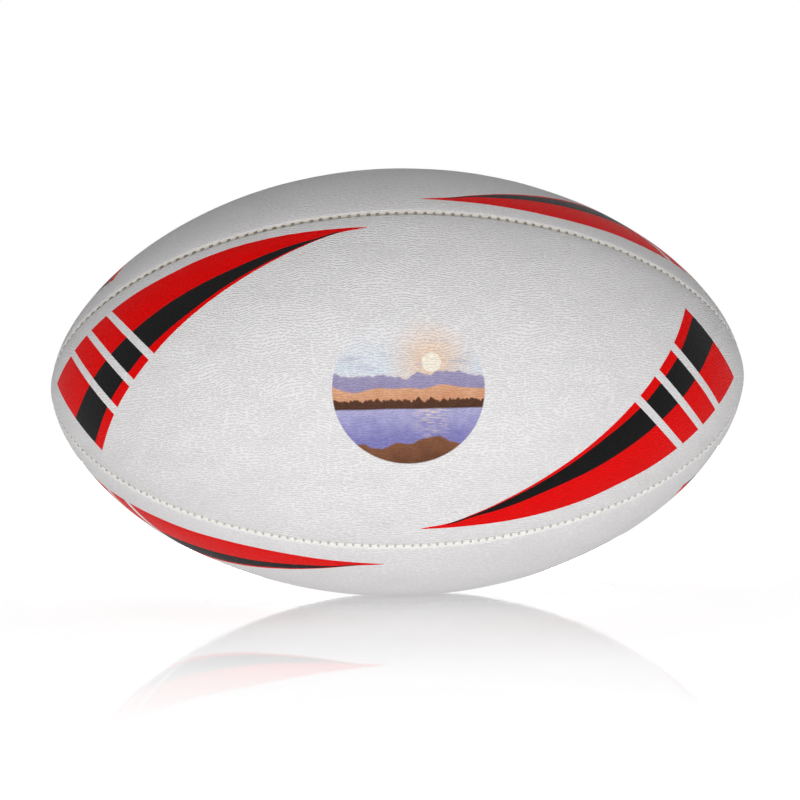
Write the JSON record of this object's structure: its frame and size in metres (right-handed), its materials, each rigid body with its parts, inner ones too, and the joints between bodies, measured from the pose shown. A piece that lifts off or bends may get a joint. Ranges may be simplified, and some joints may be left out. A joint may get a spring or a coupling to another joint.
{
  "type": "rugby ball",
  "caption": "Oval ball of four stitched, cloth-lined panels round a rubber bladder with a push-in valve, to be passed, kicked and carried.",
  "frame": {"origin": "centre of the ball, at mid-length on its long axis", "axes": "+X along the ball's long axis, -Y out through the middle of the front panel, +Z out through the middle of the top panel"},
  "size_m": [0.2998, 0.1836, 0.1836],
  "materials": {
    "cover_leather": "pebbled synthetic leather, printed, satin",
    "lining_cloth": "plain woven polyester-cotton, latex bonded",
    "seam_thread": "twisted polyester thread, olive-grey with wax",
    "bladder_rubber": "moulded butyl, dusted with talc",
    "valve_rubber": "moulded butyl, matt",
    "plug_rubber": "soft moulded rubber, matt",
    "patch_cloth": "rubberised cloth"
  },
  "bodies": {
    "root": {"cover_front": "cover_leather", "cover_top": "cover_leather", "cover_back": "cover_leather", "cover_bottom": "cover_leather", "lining_outer_front": "lining_cloth", "lining_outer_top": "lining_cloth", "lining_outer_back": "lining_cloth", "lining_outer_bottom": "lining_cloth", "lining_inner_front": "lining_cloth", "lining_inner_top": "lining_cloth", "lining_inner_back": "lining_cloth", "lining_inner_bottom": "lining_cloth", "seam_thread_front_top": "seam_thread", "seam_thread_top_back": "seam_thread", "seam_thread_back_bottom": "seam_thread", "seam_thread_bottom_front": "seam_thread", "bladder": "bladder_rubber", "valve_boot": "valve_rubber", "valve_plug": "plug_rubber", "valve_patch": "patch_cloth"}
  },
  "joints": []
}
